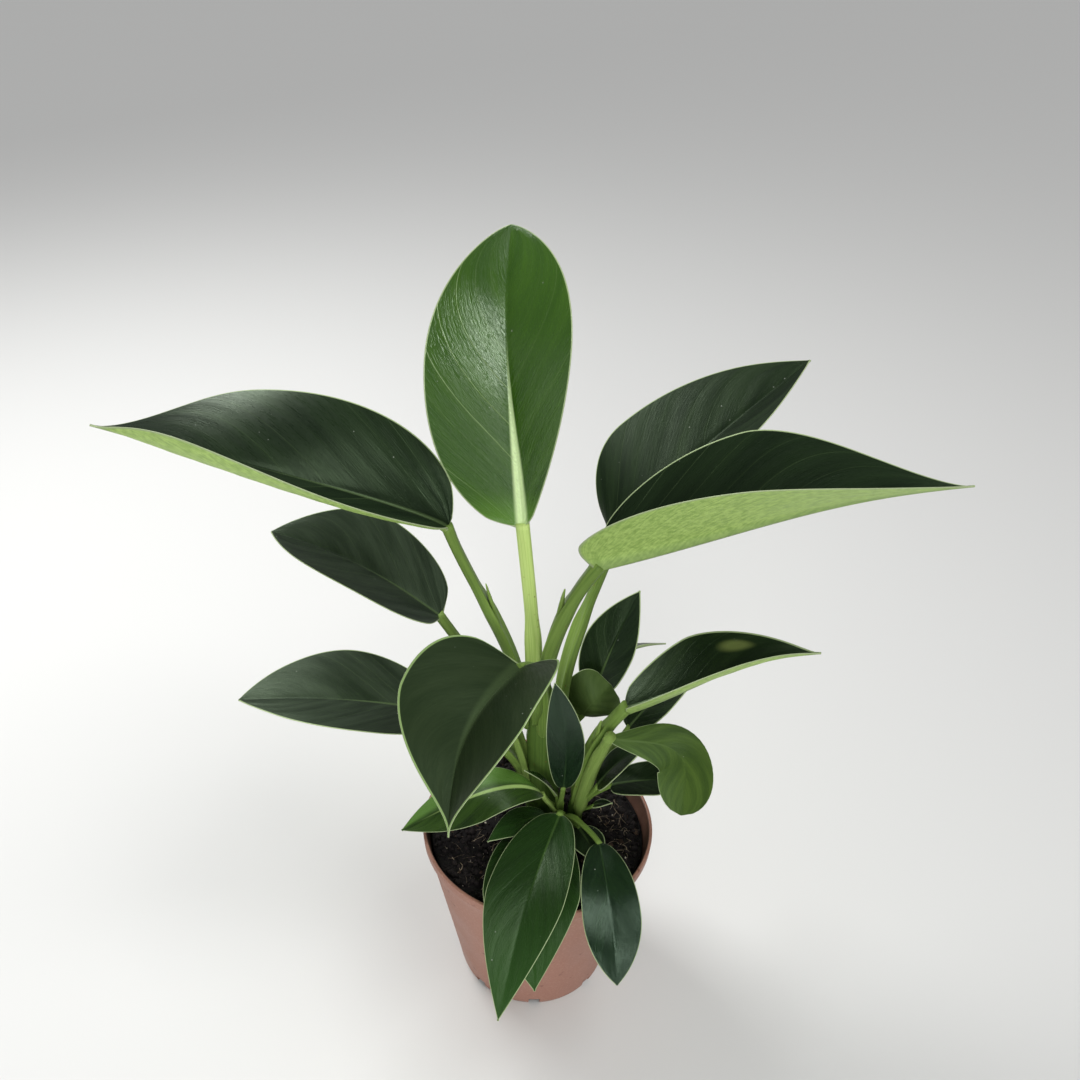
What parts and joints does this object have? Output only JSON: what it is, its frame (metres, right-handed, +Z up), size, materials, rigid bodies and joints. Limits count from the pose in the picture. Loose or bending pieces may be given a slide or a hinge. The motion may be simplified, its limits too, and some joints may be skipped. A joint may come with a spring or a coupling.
{
  "type": "potted green princess philodendron",
  "caption": "Leafy houseplant with pointed dark green leaves on pale stalks, growing in a tapered plastic nursery pot.",
  "frame": {"origin": "middle of the pot's foot, on the surface that it stands on", "axes": "+Z up, +X to the right and +Y to the back as the plant is seen from its front"},
  "size_m": [0.3541, 0.2037, 0.3944],
  "materials": {
    "pot_plastic": "thin matt terracotta-pink plastic",
    "potting_mix": "dark crumbly potting mix with pale fibres",
    "stalk": "smooth pale yellow-green stalk",
    "leaf": "satin dark green blade with a pale margin",
    "young_leaf": "satin bright green young blade"
  },
  "bodies": {
    "root": {"pot": "pot_plastic", "soil": "potting_mix", "shoot_main": "stalk", "shoot_right": "stalk", "shoot_front": "stalk", "leaf_main_crown": "young_leaf", "leaf_main_left": "leaf", "leaf_main_right": "leaf", "leaf_main_back_right": "leaf", "leaf_main_heart": "leaf", "leaf_main_mid_left": "leaf", "leaf_main_low_left": "leaf", "leaf_main_upright": "leaf", "leaf_main_pale": "young_leaf", "leaf_main_far": "leaf", "leaf_right_long": "leaf", "leaf_right_curled": "young_leaf", "leaf_right_behind": "leaf", "leaf_right_inner": "leaf", "leaf_right_low": "leaf", "leaf_right_bract": "leaf", "leaf_front_upright": "leaf", "leaf_front_left": "leaf", "leaf_front_small_left": "leaf", "leaf_front_large": "leaf", "leaf_front_under": "leaf", "leaf_front_glossy": "leaf", "leaf_front_short": "leaf", "leaf_front_bud": "leaf"}
  },
  "joints": []
}
